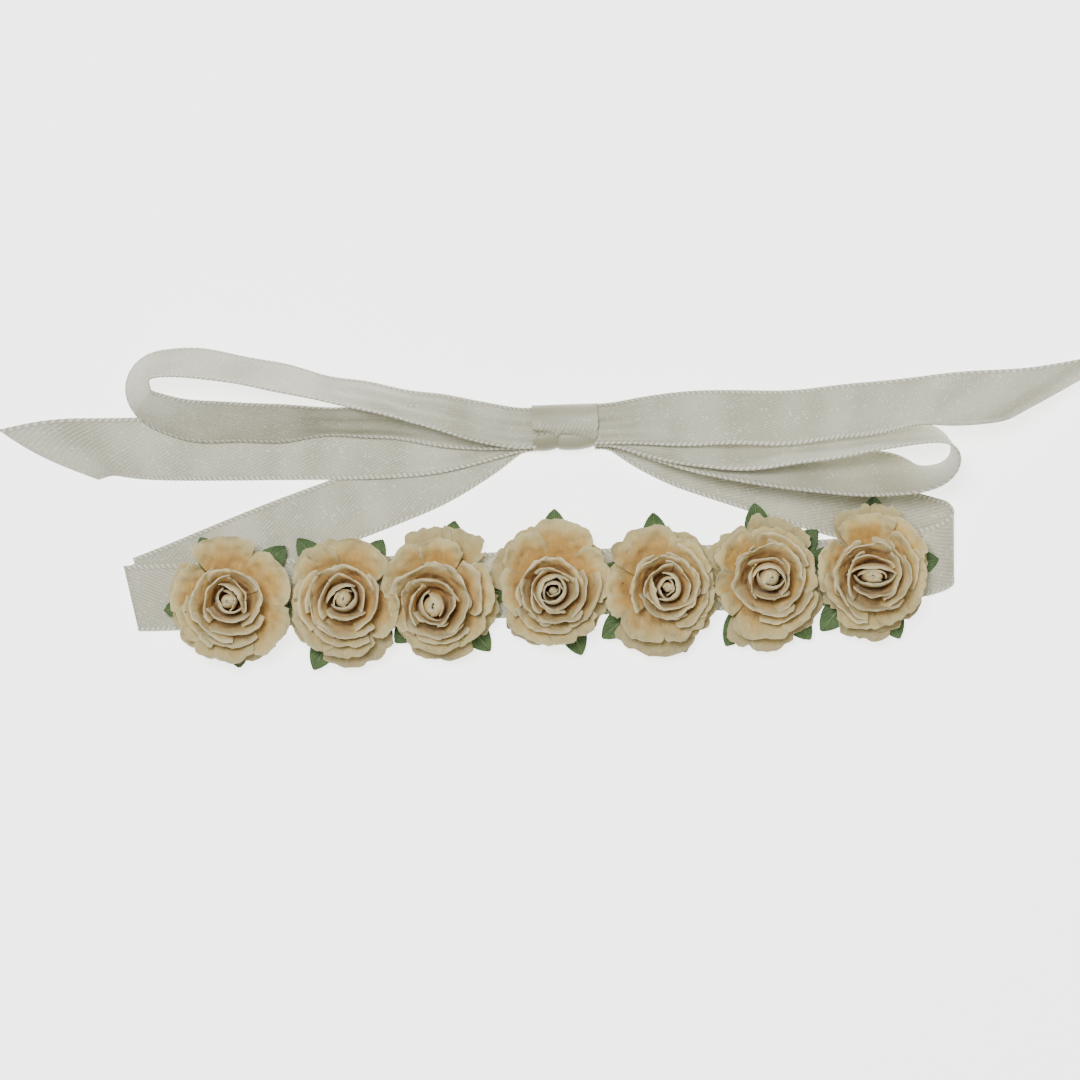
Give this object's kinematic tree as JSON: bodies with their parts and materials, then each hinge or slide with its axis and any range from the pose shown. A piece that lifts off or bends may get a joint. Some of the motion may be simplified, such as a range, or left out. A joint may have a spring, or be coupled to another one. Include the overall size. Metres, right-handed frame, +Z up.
{
  "type": "flower crown",
  "caption": "Child's flower crown lying flat: a row of open paper roses glued along a satin ribbon that is tied behind in a bow with loops and slant-cut tails.",
  "frame": {"origin": "middle of the front band's underside, half way between its ends' folds to within a millimetre, on the table", "axes": "+X along the front band towards the viewer's right, +Y from the band to the bow, +Z up off the table"},
  "size_m": [0.254, 0.0753, 0.0174],
  "materials": {
    "satin_ribbon": "satin",
    "petal_paper": "matte",
    "bud_paper": "matte",
    "leaf_paper": "matte",
    "wrapped_wire": "matte",
    "clear_glue": "satin"
  },
  "bodies": {
    "crown": {"front_band": "satin_ribbon", "left_strap": "satin_ribbon", "right_strap": "satin_ribbon", "knot_wrap": "satin_ribbon", "knot_core": "satin_ribbon", "rose_1_bud": "bud_paper", "rose_1_inner_petals": "bud_paper", "rose_1_middle_petals": "petal_paper", "rose_1_outer_petals": "petal_paper", "rose_1_calyx": "leaf_paper", "rose_1_wire": "wrapped_wire", "rose_1_glue_pad": "clear_glue", "rose_2_bud": "bud_paper", "rose_2_inner_petals": "bud_paper", "rose_2_middle_petals": "petal_paper", "rose_2_outer_petals": "petal_paper", "rose_2_calyx": "leaf_paper", "rose_2_wire": "wrapped_wire", "rose_2_glue_pad": "clear_glue", "rose_3_bud": "bud_paper", "rose_3_inner_petals": "bud_paper", "rose_3_middle_petals": "petal_paper", "rose_3_outer_petals": "petal_paper", "rose_3_calyx": "leaf_paper", "rose_3_wire": "wrapped_wire", "rose_3_glue_pad": "clear_glue", "rose_4_bud": "bud_paper", "rose_4_inner_petals": "bud_paper", "rose_4_middle_petals": "petal_paper", "rose_4_outer_petals": "petal_paper", "rose_4_calyx": "leaf_paper", "rose_4_wire": "wrapped_wire", "rose_4_glue_pad": "clear_glue", "rose_5_bud": "bud_paper", "rose_5_inner_petals": "bud_paper", "rose_5_middle_petals": "petal_paper", "rose_5_outer_petals": "petal_paper", "rose_5_calyx": "leaf_paper", "rose_5_wire": "wrapped_wire", "rose_5_glue_pad": "clear_glue", "rose_6_bud": "bud_paper", "rose_6_inner_petals": "bud_paper", "rose_6_middle_petals": "petal_paper", "rose_6_outer_petals": "petal_paper", "rose_6_calyx": "leaf_paper", "rose_6_wire": "wrapped_wire", "rose_6_glue_pad": "clear_glue", "rose_7_bud": "bud_paper", "rose_7_inner_petals": "bud_paper", "rose_7_middle_petals": "petal_paper", "rose_7_outer_petals": "petal_paper", "rose_7_calyx": "leaf_paper", "rose_7_wire": "wrapped_wire", "rose_7_glue_pad": "clear_glue"},
    "left_tail": {"left_tail": "satin_ribbon"},
    "left_loop": {"left_loop": "satin_ribbon"},
    "right_loop": {"right_loop": "satin_ribbon"},
    "right_tail": {"right_tail": "satin_ribbon"}
  },
  "joints": [
    {"name": "left_tail_lift", "type": "hinge", "parent": "crown", "child": "left_tail", "pos_m": [-0.0009, 0.0355, 0.00585], "axis": [0, 1, 0], "range_deg": [0, 40]},
    {"name": "left_loop_lift", "type": "hinge", "parent": "left_tail", "child": "left_loop", "pos_m": [-0.0009, 0.0355, 0.00585], "axis": [0, 1, 0], "range_deg": [0, 45]},
    {"name": "right_loop_lift", "type": "hinge", "parent": "crown", "child": "right_loop", "pos_m": [0.0147, 0.0355, 0.00585], "axis": [0, -1, 0], "range_deg": [0, 40]},
    {"name": "right_tail_lift", "type": "hinge", "parent": "right_loop", "child": "right_tail", "pos_m": [0.0147, 0.0355, 0.00585], "axis": [0, -1, 0], "range_deg": [0, 45]}
  ]
}
